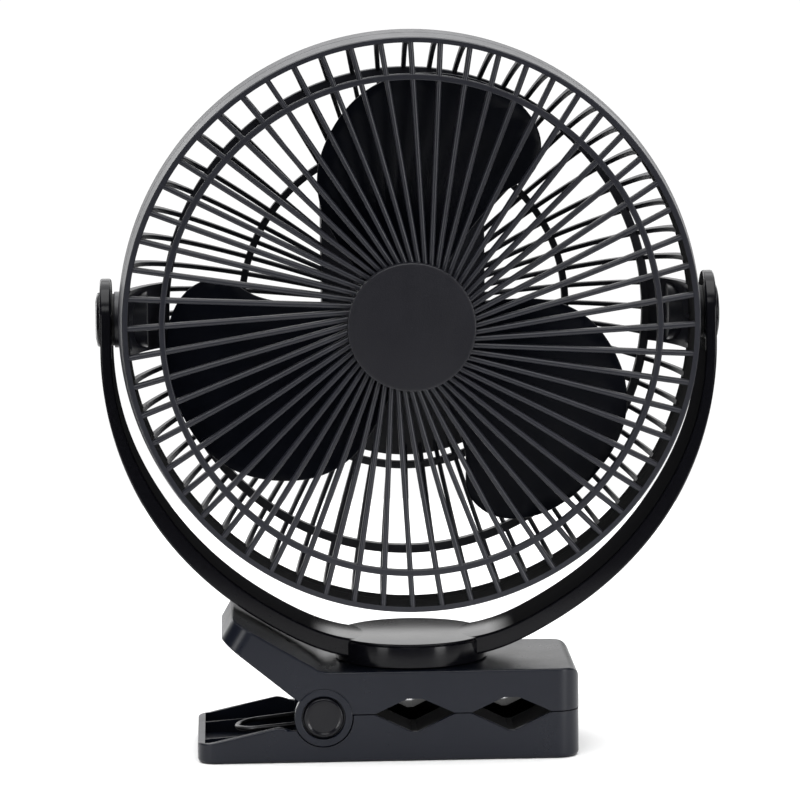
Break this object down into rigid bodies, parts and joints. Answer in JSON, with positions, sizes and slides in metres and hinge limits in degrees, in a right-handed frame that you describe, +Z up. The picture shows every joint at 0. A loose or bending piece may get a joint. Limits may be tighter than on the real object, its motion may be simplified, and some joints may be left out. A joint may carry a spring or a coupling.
{
  "type": "clip-on fan",
  "caption": "Portable camping fan: caged blades in a tilting head, on a U-shaped yoke that swivels on a sprung clamp with V notches.",
  "frame": {"origin": "underside of the lower jaw, straight below the swivel axis", "axes": "+X to the clamp's mouth, the fan blows towards -Y, +Z up"},
  "size_m": [0.2162, 0.1054, 0.2516],
  "materials": {
    "clamp_plastic": "satin, fine grain",
    "button_plastic": "satin",
    "pad_rubber": "matt",
    "steel": "plain",
    "spring_steel": "oiled",
    "nylon": "black, satin",
    "yoke_gloss": "gloss",
    "grille_plastic": "satin",
    "cap_plastic": "fine matt grain",
    "motor_steel": "zinc plated",
    "ferrite": "sintered",
    "bronze": "sintered",
    "housing_plastic": "fine matt grain",
    "cell": "sleeved",
    "board": "solder mask",
    "socket_metal": "plated",
    "lens": "frosted",
    "blade_plastic": "satin",
    "armature_steel": "laminated",
    "dial_plastic": "satin"
  },
  "bodies": {
    "lower_clamp": {"lower_jaw": "clamp_plastic", "lower_pad_front": "pad_rubber", "lower_pad_rear": "pad_rubber", "jaw_pin": "steel", "pin_button_front": "button_plastic", "pin_button_rear": "button_plastic", "torsion_spring": "spring_steel"},
    "upper_clamp": {"upper_jaw": "clamp_plastic", "upper_pad_front": "pad_rubber", "upper_pad_rear": "pad_rubber", "swivel_washer": "nylon"},
    "yoke": {"yoke": "yoke_gloss", "swivel_retainer": "steel", "swivel_screw": "steel", "tilt_cap_left": "yoke_gloss", "tilt_cap_right": "yoke_gloss"},
    "head": {"front_grille": "grille_plastic", "hub_cap": "cap_plastic", "rear_grille": "grille_plastic", "tilt_screw_left": "steel", "tilt_screw_right": "steel", "tilt_washer_left": "nylon", "tilt_washer_right": "nylon", "motor_can": "motor_steel", "motor_end_cap": "grille_plastic", "magnet_ring": "ferrite", "bearing_front": "bronze", "bearing_rear": "bronze", "motor_screw_left": "steel", "motor_screw_right": "steel", "rear_housing": "housing_plastic", "rear_cover": "housing_plastic", "cover_screw_1": "steel", "cover_screw_2": "steel", "cover_screw_3": "steel", "cover_screw_4": "steel", "battery_left": "cell", "battery_right": "cell", "battery_cradle": "nylon", "circuit_board": "board", "speed_encoder": "housing_plastic", "charging_socket": "socket_metal", "indicator_lens": "lens"},
    "rotor": {"fan_blade": "blade_plastic", "motor_shaft": "steel", "armature": "armature_steel", "blade_nut": "steel"},
    "speed_dial": {"speed_dial": "dial_plastic"}
  },
  "joints": [
    {"name": "jaw_hinge", "type": "hinge", "parent": "lower_clamp", "child": "upper_clamp", "pos_m": [-0.0315, 0, 0.0158], "axis": [0, -1, 0], "range_deg": [0, 30], "stiffness_Nm_per_rad": 1.5, "springref_deg": -34.38, "deforming": ["torsion_spring"]},
    {"name": "swivel", "type": "hinge", "parent": "upper_clamp", "child": "yoke", "pos_m": [0, 0, 0.032], "axis": [0, 0, 1], "continuous": true},
    {"name": "head_tilt", "type": "hinge", "parent": "yoke", "child": "head", "pos_m": [0, 0, 0.1516], "axis": [1, 0, 0], "range_deg": [-90, 90]},
    {"name": "blade_spin", "type": "hinge", "parent": "head", "child": "rotor", "pos_m": [0, 0, 0.1516], "axis": [0, 1, 0], "continuous": true},
    {"name": "dial_turn", "type": "hinge", "parent": "head", "child": "speed_dial", "pos_m": [0, 0.0605, 0.1876], "axis": [0, 1, 0], "range_deg": [0, 270]}
  ]
}
